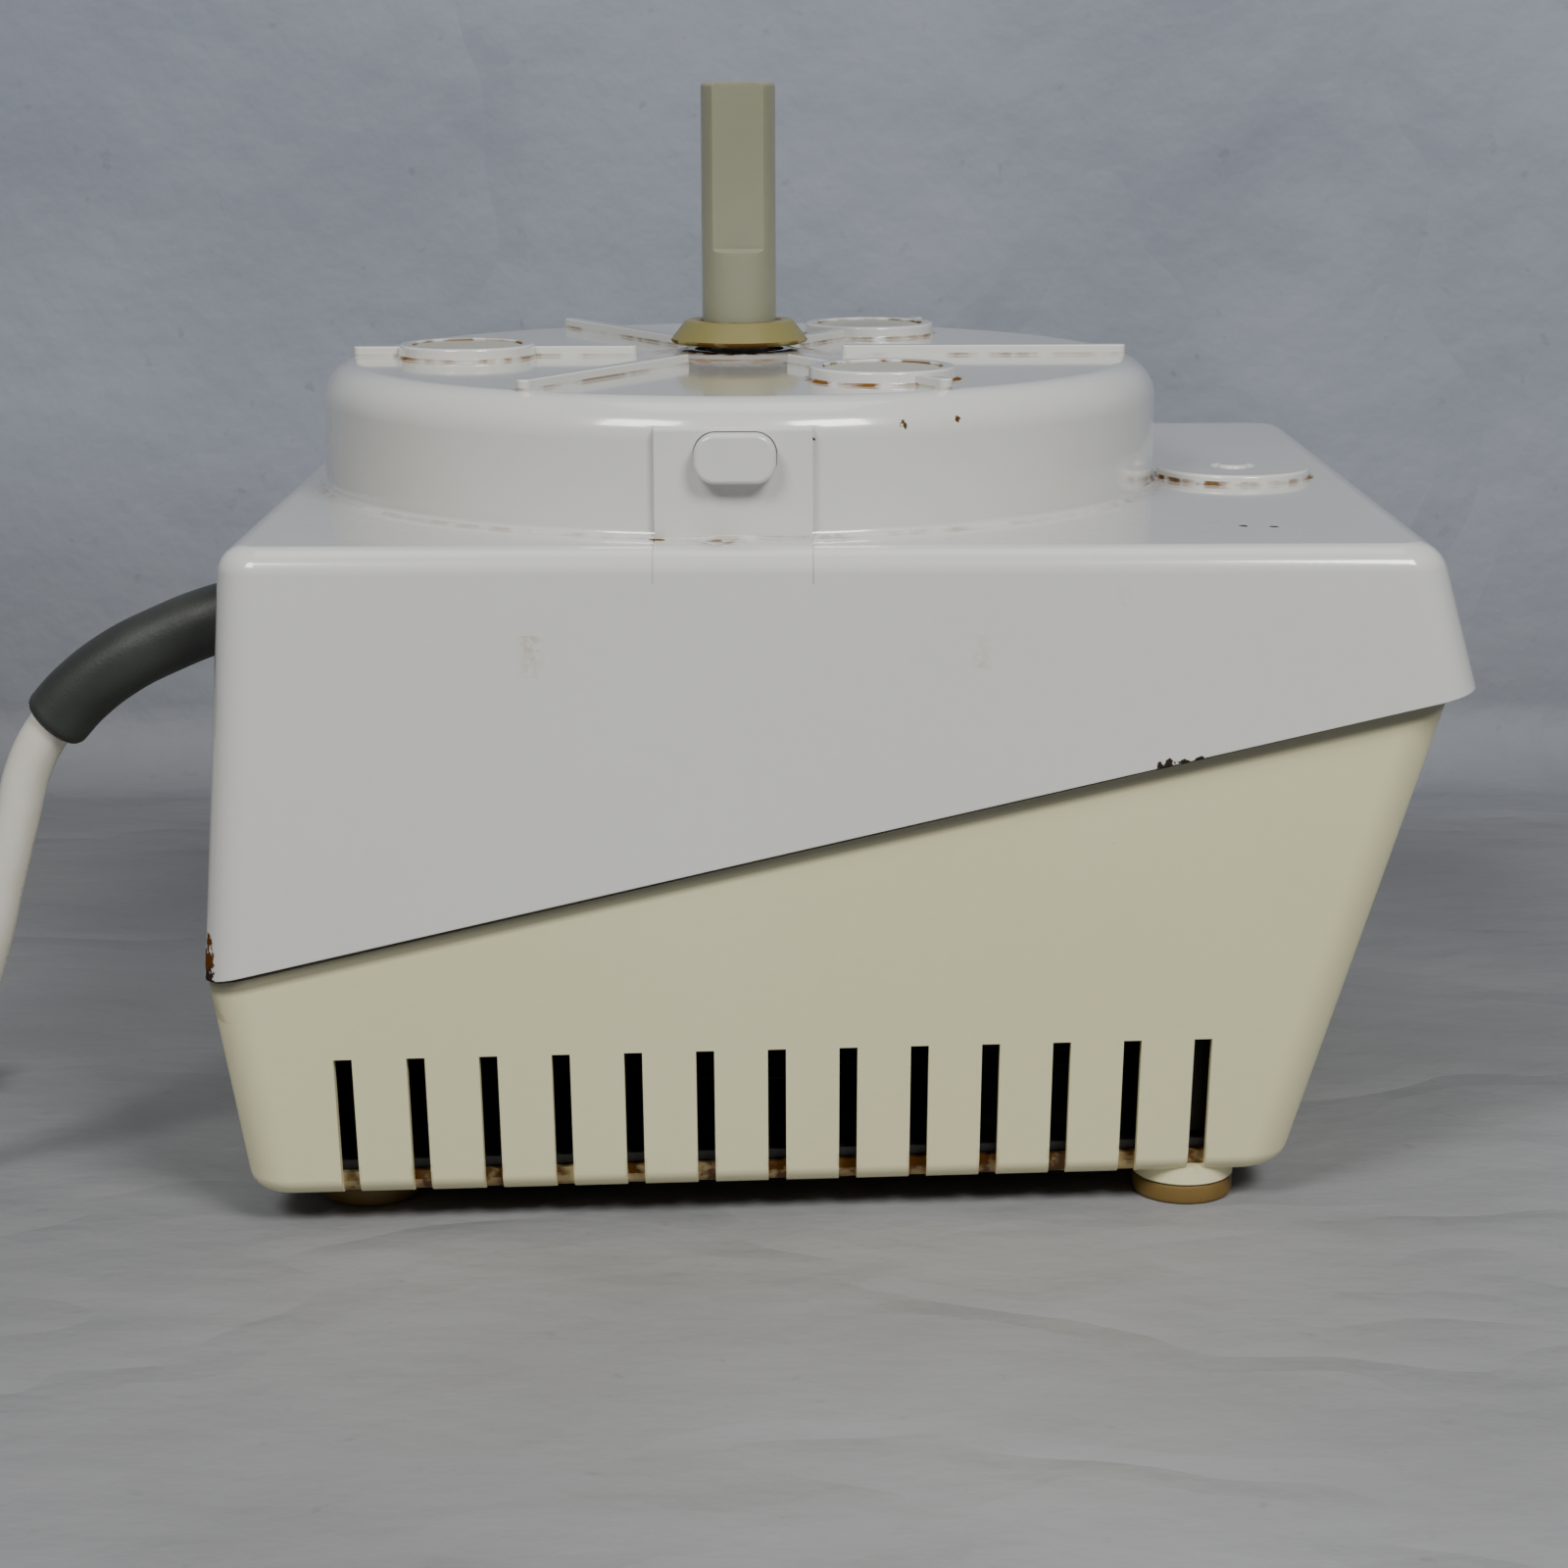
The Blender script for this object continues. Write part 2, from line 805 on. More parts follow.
WHITE_DRUM = Plastic(
    "white_drum", (0.655, 0.655, 0.63), (0.635, 0.63, 0.59), 0.16, coat=1.0, grain=0.01, dirt=TAN_DIRT,
    specks=0.5,
    stains=(
        *(Stain((x, y, 164), 15.3, 1.0, 1.0, 190, 162, 164.0) for x, y in RIBBED_PADS),
        *(Stain((x, y, 164), 11.9, 0.5, 0.9, 300, 163, 168) for x, y in RIBBED_PADS),
        Stain((0, 0, 164), 0, 300, 0.7, 160, 163.45, 163.95),
        Stain((0, 0, 164), 17, 5, 0.4, 300, 162),
        Stain((0, 0, 164), 12.2, 1.6, 1.0, 300, 163, color=DIRTY_BROWN),
        Stain((0, 0, 137), 89.9, 0.9, 0.4, 200, 136.5, 137.7),
        *chips(DIRTY_BROWN, (32.6, -82.8, 158.3, 1.0), (43.2, -77.8, 158.6, 0.9)),
        *chips(DIRTY_BROWN, (15.2, -88.4, 155.8, 0.8), (15.0, -88.4, 153.0, 0.6)),
    ),
)
CREAM_SATIN = Plastic(
    "cream_satin", (0.87, 0.835, 0.535), (0.84, 0.795, 0.485), 0.34, coat=0.2, grain=0.03,
    dirt=(0.15, 0.07, 0.016), specks=0.3,
)
GREIGE_MATTE = Plastic(
    "greige_matte", (0.40, 0.395, 0.345), (0.345, 0.335, 0.28), 0.5, grain=0.05, dirt=DIRTY_BROWN,
    specks=0.6,
)
NYLON = Plastic(
    "nylon", (0.28, 0.282, 0.205), (0.225, 0.225, 0.15), 0.28, coat=0.15, grain=0.02, dirt=(0.3, 0.2, 0.09),
    specks=0.3, scratches=0.18, translucency=0.35,
)
COLLAR_YELLOW = Plastic(
    "collar_yellow", (0.225, 0.20, 0.072), (0.165, 0.14, 0.04), 0.36, coat=0.1, grain=0.03, dirt=RUST,
    specks=0.5,
    stains=(
        Stain((0, 0, 168), 14.4, 3.0, 1.0, 200, 165, 167.15, DIRTY_BROWN),
        Stain((0, 0, 170), 8.4, 1.0, 0.9, 300),
    ),
)
BROWN_RUBBER = Rubber(
    "brown_rubber", (0.18, 0.11, 0.025), (0.24, 0.155, 0.042), 0.5, dirt=(0.09, 0.04, 0.01),
)
GREY_RUBBER = Rubber(
    "grey_rubber", (0.023, 0.026, 0.023), (0.038, 0.043, 0.037), 0.5, dirt=(0.06, 0.045, 0.025),
)
CORD_WHITE = Rubber(
    "cord_white", (0.72, 0.70, 0.63), (0.66, 0.63, 0.53), 0.3, pores=0.015, dirt=(0.25, 0.17, 0.08),
    dirt_share=0.5, coat=1.0,
)
BLACK_PLASTIC = Rubber(
    "black_plastic", (0.018, 0.018, 0.02), (0.035, 0.035, 0.035), 0.4, dirt=(0.08, 0.06, 0.04),
)
BLUE_PLASTIC = Rubber("blue_plastic", (0.045, 0.10, 0.24), (0.07, 0.13, 0.27), 0.4, pores=0.02)
STEEL = Metal("steel", (0.52, 0.53, 0.54), (0.33, 0.30, 0.27), 0.34)
ALUMINIUM = Metal("aluminium", (0.60, 0.61, 0.62), (0.42, 0.42, 0.41), 0.48, stretch=(1, 1, 1))
LAMINATION = Metal("lamination", (0.27, 0.28, 0.30), (0.24, 0.17, 0.12), 0.45, stretch=(0.2, 0.2, 30))
BRASS = Metal("brass", (0.68, 0.50, 0.20), (0.36, 0.25, 0.10), 0.3)
COPPER = Metal("copper", (0.42, 0.15, 0.06), (0.25, 0.09, 0.04), 0.4, metallic=0.7)
PLAIN_FINISHES = (
    WHITE_GLOSS, CREAM_SATIN, GREIGE_MATTE, NYLON, COLLAR_YELLOW, BROWN_RUBBER, GREY_RUBBER, CORD_WHITE,
    BLACK_PLASTIC, BLUE_PLASTIC, STEEL, ALUMINIUM, LAMINATION, BRASS, COPPER,
)


class Body(Enum):
    """The CAD bodies that pieces ride on."""

    HOUSING = "housing"
    SPINDLE = "spindle"
    BUTTON = "button"


@dataclass(frozen=True)
class Finishes:
    """The materials, ready made, and the dressing of a piece with one of them."""

    materials: dict[str, Material]

    def dress(
        self,
        piece: Piece,
        slot: str,
        *nodes: str,
        look: str = "",
        body: Body = Body.HOUSING,
        angle: float = 0.0,
    ) -> Piece:
        """Shades and dresses a piece, and fixes it to its body.

        Args:
            piece: The piece.
            slot: The record's material slot.
            *nodes: The CAD nodes it stands for.
            look: Its finish, where that isn't named after the slot.
            body: The CAD body it moves with.
            angle: Edges up to this many degrees are shaded smooth. With none, the shading stays.

        Returns:
            The same piece.
        """
        if angle:
            Bench.smooth(piece, angle)
        piece.data.materials.clear()
        piece.data.materials.append(self.materials[look or slot])
        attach(piece, body.value)
        if nodes:
            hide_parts(*nodes)
        LOG.info("made %s", piece.name)
        return piece


# ------------------------------------------------------------------------------- cord
@dataclass
class PowerCord:
    """The supply cord: out of the cover's left wall, over to the floor, two turns and a tail to the plug."""

    diameter: float = 9.2
    plane: float = -70.0
    drop: tuple[Pair, ...] = (
        (-93, 120.6), (-102.3, 118.6), (-112.6, 114.6), (-121.9, 109.9), (-130.2, 103.6), (-136, 97.4),
        (-140.4, 90.2), (-144.2, 78), (-148, 64.5), (-151.6, 51.5), (-157, 37.5), (-166.5, 22.5),
        (-182, 10), (-203.3, 6.1),
    )
    tail: tuple[Pair, ...] = (
        (-295.6, 14.5), (-291.5, 24), (-286, 33), (-279, 41), (-270.5, 48),
    )
    coil: Pair = (-236.0, -14.8)
    outer_turn: float = 55.2
    inner_turn: float = 46.0
    top_turn: float = 50.6

    def route(self) -> list[Point]:
        """The cord's centreline.

        Returns:
            Its points, in millimetres about the shaft.
        """
        points = [(x, self.plane, z) for x, z in self.drop]
        low = self.diameter / 2 + 0.05
        step = 12
        for angle in range(270, -20, -step):
            points.append(self._turn(angle, self.outer_turn, low))
        for angle in range(-20, -86, -9):
            share = self._ease((-20 - angle) / 65)
            radius = self.outer_turn + (self.inner_turn - self.outer_turn) * share
            points.append(self._turn(angle, radius, low))
        for angle in range(-97, -331, -step):
            points.append(self._turn(angle, self.inner_turn, low))
        lay = self.diameter + 0.1
        for angle in range(-334, -376, -8):
            lean = math.radians(60) * self._ease((-330 - angle) / 45)
            radius = self.outer_turn - lay * math.cos(lean)
            points.append(self._turn(angle, radius, low + lay * math.sin(lean)))
        top = low + lay * math.sin(math.radians(60))
        for angle in range(-384, -501, -step):
            hump = 1.3 if -448 < angle < -380 else 0
            points.append(self._turn(angle, self.top_turn, top + hump))
        for angle in range(-508, -567, -8):
            share = self._ease((-500 - angle) / 66)
            radius = self.top_turn + (66.4 - self.top_turn) * share
            over = min(1.0, max(0.0, (radius - self.outer_turn) / lay))
            height = low + lay * math.sqrt(max(0.0, 1 - over * over))
            points.append(self._turn(angle, radius, min(height, top + 1.3)))
        return points + [(x, y, low) for x, y in self.tail[1:]]

    @staticmethod
    def _ease(share: float) -> float:
        """A share that starts and ends gently."""
        share = min(1.0, max(0.0, share))
        return share * share * (3 - 2 * share)

    def _turn(self, angle: float, radius: float, height: float) -> Point:
        """A point of the coil at an angle in degrees."""
        a = math.radians(angle)
        return (self.coil[0] + radius * math.cos(a), self.coil[1] + radius * math.sin(a), height)

    def build(self, shop: Finishes, fittings: Sequence[Piece]) -> None:
        """Args:
            shop: The finishes.
            fittings: The pieces on the cord.
        """
        route = [Bench.place(*p) for p in self.route()]
        cord = Bench.tube("cord", [(place, 1.0) for place in route], self.diameter / 2, 6, 6)
        bpy.context.view_layer.update()
        shop.dress(cord, "cord_white", "power_cord", "cord_coil", "cord_tail")


@dataclass
class CordFittings:
    """The rubber relief sleeve, the tie round the turns, and the flat two-pin plug."""

    relief_radius: float = 6.8
    relief_start: Pair = (-94.5, 120.5)
    relief_points: int = 6
    relief_rounding: float = 2.2
    tie_half_width: float = 7.0
    tie_sheet: float = 1.2
    tie_top: float = 18.5
    plug_length: float = 44.0
    pin_half_gap: float = 6.35

    def build(self, cord: PowerCord, shop: Finishes) -> list[Piece]:
        """Makes every fitting of a cord."""
        return [self._relief(cord, shop), self._tie(cord, shop), *self._plug(cord, shop)]

    def _relief(self, cord: PowerCord, shop: Finishes) -> Piece:
        """Makes the bent rubber sleeve at the cover's wall.

        Args:
            cord: The cord in it.
            shop: The finishes.

        Returns:
            The sleeve.
        """
        bends = (self.relief_start, *cord.drop[1 : self.relief_points])
        route = [Bench.place(x, cord.plane, z) for x, z in bends]
        along = (route[-1] - route[-2]).normalized()
        tip, rounding = route.pop(), self.relief_rounding
        stops = [(place, 1.0) for place in route]
        for a in quarter(5):
            back = along * rounding * (1 - math.sin(a)) * MM
            stops.append((tip - back, 1 - rounding * (1 - math.cos(a)) / self.relief_radius))
        sleeve = Bench.tube("strain_relief_sleeve", stops, self.relief_radius, 10, 10)
        Bench.pick(sleeve)
        bpy.ops.object.convert(target="MESH")
        sleeve = bpy.context.object
        return shop.dress(sleeve, "grey_rubber", "strain_relief", angle=ROUND)

    def _tie(self, cord: PowerCord, shop: Finishes) -> Piece:
        """Makes the flat band round the turns.

        Args:
            cord: The cord in it.
            shop: The finishes.

        Returns:
            The band.
        """
        x, y = cord.coil
        low, high = x + cord.inner_turn - 5.4, x + cord.outer_turn + 5.0
        half, sheet, top = self.tie_half_width, self.tie_sheet, self.tie_top
        band = Bench.box("coil_band", (low - sheet, y - half, 4.6), (high + sheet, y + half, top + sheet))
        hole = Bench.box("band_hole", (low, y - half - 1, 3.6), (high, y + half + 1, top))
        Bench.combine(band, hole, "DIFFERENCE")
        Bench.soften(band, 0.4)
        return shop.dress(band, "black_plastic", "coil_tie", angle=SOFT)

    def _plug(self, cord: PowerCord, shop: Finishes) -> list[Piece]:
        """Makes the plug's body and two pins, turned the way the cord ends.

        Args:
            cord: The cord that ends in it.
            shop: The finishes.

        Returns:
            The body and the pins.
        """
        half, waist, length = 11.0, 5.6, self.plug_length
        body = Bench.box("plug_grip", (0.2, -half, 0.2), (length, half, 13.8))
        for at in (18.0, 26.0):
            Bench.select(body, faces=lambda centre, normal: True)
            bpy.ops.mesh.bisect(plane_co=Bench.place(at, 0, 0), plane_no=(1, 0, 0))
            bpy.ops.object.mode_set(mode="OBJECT")
        for at, size in ((0.2, 5.0), (18.0, waist + 0.4), (length, half - 1)):
            spot = Bench.place(at, 0, 7)
            Bench.select(body, verts=lambda co, s=spot: abs(co.x - s.x) < 1e-4)
            bpy.ops.transform.resize(value=(1, size / half, 0.72 if size == 5.0 else 1), center_override=spot)
            if size == 5.0:
                bpy.ops.transform.translate(value=(0, 0, -1.9 * MM))
            bpy.ops.object.mode_set(mode="OBJECT")
        Bench.soften(body, 2.2, 4, 40)
        pieces = [shop.dress(body, "cord_white", "plug_body", angle=ROUND)]
        for number, side in enumerate((-self.pin_half_gap, self.pin_half_gap), 1):
            pin = Bench.box(f"blade_{number}", (36.4, side - 0.75, 4), (59.8, side + 0.75, 10.3))
            Bench.soften(pin, 0.4)
            pieces.append(shop.dress(pin, "brass", f"plug_pin_{number}", angle=SOFT))
        (bx, by), (ex, ey) = cord.tail[-2:]
        turn = math.atan2(ey - by, ex - bx)
        for piece in pieces:
            Bench.swing(piece, turn, (ex, ey))
        return pieces


# ------------------------------------------------------------------------------- cover
@dataclass
class CoverShell:
    """The white cover: slightly flared walls, a steeper right wall, and a lip that rises to the right."""

    top: float = 137.2
    left: float = 97.0
    right: float = 133.2
    half_depth: float = 101.7
    draft: float = 0.0625
    right_draft: float = 0.27
    edge: float = 5.0
    corner: float = 8.0
    wall: float = 2.5
    lip_height: float = 77.2
    lip_slope: float = 0.2294
    relief_hole: float = 7.4
    cut: float = 45.0
    groove_half_width: float = 0.14
    groove_depth: float = 0.25
    pillar: float = 5.5

    def corners(self, z: float) -> list[Point]:
        """Works out the four corners of the outline at a height.

        Args:
            z: The height.

        Returns:
            Left front, right front, right back, left back.
        """
        drop = self.top - z
        left, right = -(self.left + self.draft * drop), self.right + self.right_draft * drop
        deep = self.half_depth + self.draft * drop
        return [(left, -deep, z), (right, -deep, z), (right, deep, z), (left, deep, z)]

    def build(self, shop: Finishes) -> None:
        """Makes the cover with its pillars.

        Args:
            shop: The finishes.
        """
        cover = Bench.block("cover_shell", self.corners(self.cut), self.corners(self.top))
        top = self.top * MM
        Bench.bevel(cover, lambda a, b: abs(a.z - b.z) > 0.02, self.corner, 7)
        Bench.bevel(cover, lambda a, b: min(a.z, b.z) > top - 1e-5, self.edge, 6)
        lip = math.atan(self.lip_slope)
        point = Bench.place(0, 0, self.lip_height)
        Bench.split_off(cover, point, Vector((math.sin(lip), 0, -math.cos(lip))))
        Bench.modify(cover, "SOLIDIFY", thickness=self.wall * MM, offset=-1, use_even_offset=True)
        hole = Bench.cylinder("relief_hole", self.relief_hole, -14, 14, (0, 0), 40)
        Bench.swing(hole, math.radians(96), (-98, -70), 120.2, axis=1)
        Bench.combine(cover, hole, "DIFFERENCE")
        for side in (-15.0, 15.0):
            half = self.groove_half_width
            groove = Bench.box(f"groove_{side:.0f}", (side - half, -104, 130.5), (side + half, -90, 138))
            inside = self._inside(self.top - self.groove_depth)
            body = Bench.block(f"keep_{side:.0f}", self._inside(100), inside)
            Bench.bevel(body, lambda a, b: min(a.z, b.z) > (self.top - 0.3) * MM, self.edge, 6)
            Bench.combine(groove, body, "DIFFERENCE")
            Bench.combine(cover, groove, "DIFFERENCE")
        Bench.bevel(cover, self._on_rim, 0.35, 2)
        shop.dress(cover, "white_gloss", "upper_housing", angle=SOFT)
        for x, y in BaseShell.foot_places():
            name = f"pillar_{'l' if x < 0 else 'r'}{'f' if y < 0 else 'b'}"
            post = Bench.cylinder(name, self.pillar, 14.1, 134.5, (x, y), 32)
            shop.dress(post, "white_gloss", "upper_housing", look="inside_dust", angle=SOFT)

    def _inside(self, z: float) -> list[Point]:
        """The outline's corners at a height, moved in by the groove's depth."""
        deep = self.groove_depth
        return [(x - math.copysign(deep, x), y - math.copysign(deep, y), z) for x, y, z in self.corners(z)]

    def _on_rim(self, a: Vector, b: Vector) -> bool:
        """True for an edge along the lip."""
        return self._on_lip(a) and self._on_lip(b) and abs(a.x - b.x) + abs(a.y - b.y) > 1e-5

    def _on_lip(self, co: Vector) -> bool:
        """True for a point on the lip's plane."""
        x = (co.x - Bench.shaft_x) / MM
        return abs(co.z / MM - self.lip_height - self.lip_slope * x) < 0.02


@dataclass
class BowlSeat:
    """The round seat on the cover: drum, flat button panel, ribs, screw pads and the shaft's skirt."""

    radius: float = 89.0
    foot: float = 137.2
    top: float = 163.4
    edge: float = 8.0
    rib_inner: float = 22.0
    rib_outer: float = 83.0
    rib_width: float = 3.0
    rib_top: float = 165.55
    pad_radius: float = 14.7
    pad_top: float = 166.15
    pad_rim: float = 2.7
    disc_radius: float = 11.7
    panel_half: float = 15.0
    panel_face: float = 89.3
    roof: float = 3.2
    fillet: float = 1.6
    button_gap: float = 0.12

    def build(self, shop: Finishes) -> None:
        """Makes the seat.

        Args:
            shop: The finishes.
        """
        drum = self._drum()
        shop.dress(drum, "white_gloss", "upper_housing", look="white_drum")
        for number in range(6):
            rib = self._rib(number)
            shop.dress(rib, "white_gloss", "upper_housing", look="white_drum")
        for number, place in enumerate(RIBBED_PADS, 1):
            self._pad(number, place, shop)

    def _drum(self) -> Piece:
        """Makes the seat's wall, roof and skirt, with the panel joined on and the button's bore cut.

        Returns:
            The drum.
        """
        r, foot, top, fillet = self.radius, self.foot, self.top, self.fillet
        outer = [(r + fillet, foot - 0.6)]
        for a in quarter(6):
            outer.append((r + fillet * (1 - math.sin(a)), foot + fillet * (1 - math.cos(a)) - 0.02))
        outer += arc(r, top, self.edge, 12)
        skirt = [(22, top), (18.5, top + 0.15), (14.6, top + 0.75), (12.3, top + 1.35), (11.4, top + 1.5)]
        under = top - self.roof
        inner = [(9.6, top + 1.45), (9.5, under), (r - 8, under), (r - 3.5, top - 6), (r - 2.8, foot - 0.6)]
        drum = Bench.spun("bowl_seat_drum", [*outer, *skirt, *inner, outer[0]], steps=128)
        half, face = self.panel_half, self.panel_face
        panel = Bench.box("panel", (-half, -face, foot - 0.6), (half, -face + 5, 158.4))
        Bench.bevel(panel, lambda a, b: min(a.z, b.z) > 0.158 and max(a.y, b.y) < -0.089, 1.0, 4)
        Bench.combine(drum, panel, "UNION")
        bore = SafetyButton().prism("button_bore", self.button_gap, -face - 6, -70)
        Bench.combine(drum, bore, "DIFFERENCE")
        Bench.smooth(drum, SHARP)
        return drum

    def _rib(self, number: int) -> Piece:
        """Makes one radial rib with round ends.

        Args:
            number: Which of the six, counted from the right.

        Returns:
            The rib.
        """
        half = self.rib_width / 2
        low, high = (self.rib_inner, -half, self.top - 1), (self.rib_outer, half, self.rib_top)
        rib = Bench.box(f"seat_rib_{number + 1}", low, high)
        Bench.bevel(rib, lambda a, b: abs(a.z - b.z) > 1e-4, half * 0.98, 5)
        top = self.rib_top * MM
        Bench.bevel(rib, lambda a, b: min(a.z, b.z) > top - 1e-5, 1.0, 5)
        Bench.swing(rib, math.radians(60 * number), (0, 0))
        Bench.smooth(rib)
        return rib

    def _pad(self, number: int, place: Pair, shop: Finishes) -> None:
        """Makes one raised ring with its matte disc.

        Args:
            number: Which of the three, from 1.
            place: Its centre.
            shop: The finishes.
        """
        r, rim, top = self.pad_radius, self.pad_rim, self.pad_top
        seat = r - rim
        profile = [
            (r + 0.9, self.top - 0.3), (r + 0.25, self.top + 0.25), (r, self.top + 0.8),
            *arc(r, top, 0.6, 4), (seat + 0.3, top), (seat, top - 0.3), (seat, top - 2.0), (0, top - 2.0),
        ]
        pad = Bench.spun(f"screw_pad_{number}", [*profile, (0, self.top - 0.3), profile[0]], place, 72)
        shop.dress(pad, "white_gloss", "upper_housing", look="white_drum", angle=SHARP)
        flat, low, high = self.disc_radius, top - 1.9, top - 0.5
        face = [(0, low), (flat, low), *arc(flat, high, 0.4, 3), (0, high)]
        disc = Bench.spun(f"screw_disc_{number}", face, place, 64)
        shop.dress(disc, "greige_matte", f"screw_cover_{number}", angle=SHARP)


@dataclass
class SideCap:
    """The round cap on the cover's right, with a small plug in its middle."""

    centre: Pair = (106.8, -1.0)
    radius: float = 16.6
    low: float = 136.9
    top: float = 139.3
    plug_radius: float = 3.4

    def build(self, shop: Finishes) -> None:
        """Makes the cap and its plug.

        Args:
            shop: The finishes.
        """
        r, low, top, recess = self.radius, self.low, self.top, self.top - 0.5
        profile = [(0, low), (r, low), *arc(r, top, 0.7, 5), (5.0, top), (4.2, recess), (0, recess)]
        cap = Bench.spun("side_cap_disc", profile, self.centre, 72)
        shop.dress(cap, "white_gloss", "side_cap", angle=SHARP)
        r, low, top = self.plug_radius, top - 0.8, top + 0.45
        profile = [(0, low), (r, low), *arc(r, top, 0.8, 5), (0, top)]
        plug = Bench.spun("side_cap_button", profile, self.centre, 40)
        shop.dress(plug, "white_gloss", "side_cap_plug", angle=SHARP)


@dataclass
class SafetyButton:
    """The oval button in the seat's front panel."""

    x: float = 0.35
    z: float = 152.7
    width: float = 15.7
    height: float = 9.5
    face: float = 93.3

    def prism(self, name: str, extra: float, front: float, back: float) -> Piece:
        """An oval bar along Y.

        Args:
            name: The bar's name.
            extra: Added all round the button's outline.
            front: Y of its front.
            back: Y of its back.

        Returns:
            The bar.
        """
        w, h = self.width / 2 + extra, self.height / 2 + extra
        bar = Bench.box(name, (self.x - w, front, self.z - h), (self.x + w, back, self.z + h))
        Bench.bevel(bar, lambda a, b: abs(a.y - b.y) > 1e-3, h * 0.86, 10)
        return bar

    def build(self, shop: Finishes) -> None:
        """Makes the button.

        Args:
            shop: The finishes.
        """
        button = self.prism("safety_button", 0, -self.face, -77)
        front = -self.face * MM
        Bench.bevel(button, lambda a, b: max(a.y, b.y) < front + 1e-5, 0.9, 4)
        shop.dress(button, "white_gloss", "interlock_button", body=Body.BUTTON, angle=SHARP)


# ------------------------------------------------------------------------------- base
@dataclass
class BaseShell:
    """The cream base: a tapering tub with a row of slots low on its front and back."""

    bottom: float = 7.0
    left: float = 96.6
    right: float = 110.4
    left_draft: float = 0.117
    right_draft: float = 0.259
    half_depth: float = 89.0
    taper: float = 0.0701
    draft: float = 0.2065
    corner: float = 9.0
    edge: float = 4.0
    wall: float = 2.5
    slots: int = 13
    first_slot: float = -76.2
    pitch: float = 14.01
    slot_width: float = 3.55
    slot_top: float = 37.4
    cut: float = 130.0
    tongue_inset: float = 3.2
    tongue_lean: float = 0.16

    @staticmethod
    def foot_places() -> list[Pair]:
        """Where the four feet stand."""
        return [(-75.3, -71.5), (90.6, -71.5), (-75.3, 71.5), (90.6, 71.5)]

    def depth(self, x: float, z: float) -> float:
        """Distance from the shaft's axis to the front wall at a place along the length and a height."""
        return self.half_depth - self.taper * x + self.draft * (z - self.bottom)

    def corners(self, z: float, inset: float = 0.0) -> list[Point]:
        """Works out the four corners of the outline at a height.

        Args:
            z: The height.
            inset: How far in from the outside.

        Returns:
            Left front, right front, right back, left back.
        """
        rise = z - self.bottom
        left = -(self.left + self.left_draft * rise) + inset
        right = self.right + self.right_draft * rise - inset
        at_left, at_right = (self.depth(x, z) - inset for x in (left, right))
        return [(left, -at_left, z), (right, -at_right, z), (right, at_right, z), (left, at_left, z)]

    def build(self, shop: Finishes, cover: CoverShell) -> None:
        """Makes the tub, the flange inside its foot, and the feet.

        Args:
            shop: The finishes.
            cover: The cover, whose lip the tub ends at.
        """
        tub = Bench.block("base_tub", self.corners(self.bottom), self.corners(self.cut))
        bottom = self.bottom * MM
        Bench.bevel(tub, lambda a, b: abs(a.z - b.z) > 0.02, self.corner, 7)
        Bench.bevel(tub, lambda a, b: max(a.z, b.z) < bottom + 1e-5, self.edge, 5)
        Bench.select(tub, faces=lambda centre, normal: normal.z < -0.99)
        bpy.ops.mesh.delete(type="FACE")
        bpy.ops.object.mode_set(mode="OBJECT")
        lip = math.atan(cover.lip_slope)
        up = Vector((-math.sin(lip), 0, math.cos(lip)))
        Bench.split_off(tub, Bench.place(0, 0, cover.lip_height - 0.8), up)
        Bench.modify(tub, "SOLIDIFY", thickness=self.wall * MM, offset=-1, use_even_offset=True)
        Bench.combine(tub, self._slot_tool(), "DIFFERENCE")
        shop.dress(tub, "cream_satin", "lower_housing", look="cream_base", angle=SOFT)
        self._tongue(shop, cover)
        self._flange(shop)
        self._feet(shop)

    def _slot_tool(self) -> Piece:
        """Makes every slot's bar, front and back.

        Returns:
            The bars as one mesh.
        """
        bars = []
        for number in range(self.slots):
            x = self.first_slot + number * self.pitch
            for side in (-1, 1):
                levels = []
                for z in (self.bottom - 3, self.slot_top):
                    ends = (x - self.slot_width / 2, x + self.slot_width / 2)
                    out = [(e, side * (self.depth(e, z) + 6), z) for e in ends]
                    back = [(e, side * (self.depth(e, z) - 5.5), z) for e in ends]
                    front, rear = (out, back) if side < 0 else (back, out)
                    levels.append([front[0], front[1], rear[1], rear[0]])
                bars.append(Bench.block(f"slot_{number}_{side}", levels[0], levels[1]))
        return Bench.gather(bars, "slot_tool")

    def _tongue(self, shop: Finishes, cover: CoverShell) -> None:
        """Makes the thin tongue that stands inside the cover's lip and closes the seam.

        Args:
            shop: The finishes.
            cover: The cover.
        """
        low, high, inset = cover.cut, self.cut, self.tongue_inset
        above = self.corners(high, inset + (high - low) * self.tongue_lean)
        tongue = Bench.block("lip_tongue", self.corners(low, inset), above)
        Bench.bevel(tongue, lambda a, b: abs(a.z - b.z) > 0.02, self.corner - 3, 5)
        lip = math.atan(cover.lip_slope)
        up = Vector((-math.sin(lip), 0, math.cos(lip)))
        Bench.split_off(tongue, Bench.place(0, 0, cover.lip_height + 4), up)
        Bench.split_off(tongue, Bench.place(0, 0, cover.lip_height - 6), -up)
        Bench.modify(tongue, "SOLIDIFY", thickness=1.6 * MM, offset=-1, use_even_offset=True)
        shop.dress(tongue, "cream_satin", "lower_housing", look="inside_dust", angle=SOFT)

